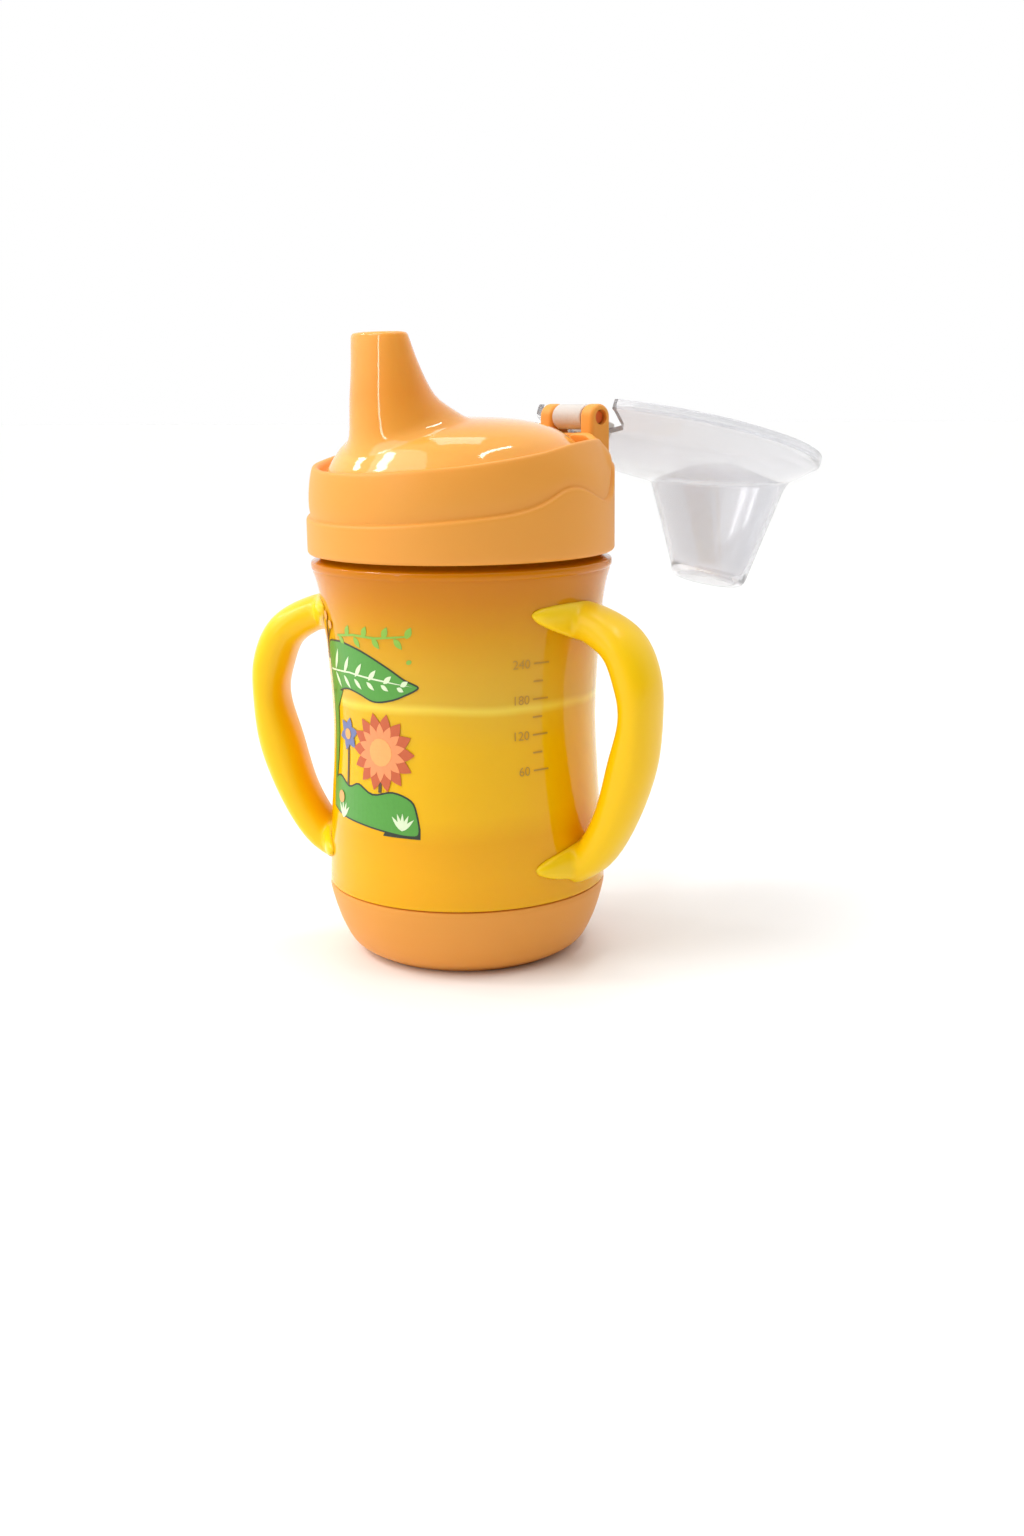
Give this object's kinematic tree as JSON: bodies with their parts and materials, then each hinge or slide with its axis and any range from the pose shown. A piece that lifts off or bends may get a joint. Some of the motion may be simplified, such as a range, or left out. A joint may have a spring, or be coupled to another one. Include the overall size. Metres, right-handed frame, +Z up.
{
  "type": "sippy cup",
  "caption": "Two-handled toddler training cup with a push-on base boot, screw collar, domed spout and clear flip cover.",
  "frame": {"origin": "centre of the flat foot, on the surface that the cup stands on", "axes": "+Z up along the cup's axis; -Y is the front, midway between the two handles; +X to the right handle's side"},
  "size_m": [0.1275, 0.1375, 0.1495],
  "materials": {
    "amber_clear": "polished, tinted clear",
    "handle_yellow": "moulded gloss",
    "apricot_satin": "fine spark texture",
    "apricot_gloss": "polished",
    "silicone": "translucent matte",
    "pin_orange": "moulded",
    "cover_clear": "polished, slightly cloudy clear"
  },
  "bodies": {
    "cup": {"cup_body": "amber_clear", "handle_left": "handle_yellow", "handle_right": "handle_yellow", "base_boot": "apricot_satin"},
    "seal": {"lid_seal": "silicone"},
    "lid": {"collar": "apricot_satin", "spout_dome": "apricot_gloss", "spill_valve": "silicone", "hinge_pin": "pin_orange"},
    "cover": {"flip_cover": "cover_clear"}
  },
  "joints": [
    {"name": "lid_rise", "type": "slide", "parent": "cup", "child": "seal", "axis": [0, 0, 1], "range_m": [0, 0.016]},
    {"name": "lid_turn", "type": "hinge", "parent": "seal", "child": "lid", "pos_m": [0, 0, 0.1094], "axis": [0, 0, 1], "range_deg": [0, 360]},
    {"name": "cover_flip", "type": "hinge", "parent": "lid", "child": "cover", "pos_m": [0.0181, 0.03135, 0.1295], "axis": [0.866, -0.5, 0], "range_deg": [0, 201]}
  ],
  "couplings": [
    {"joint": "lid_rise", "follows": "lid_turn", "m_per_rad": 0.0025464}
  ]
}
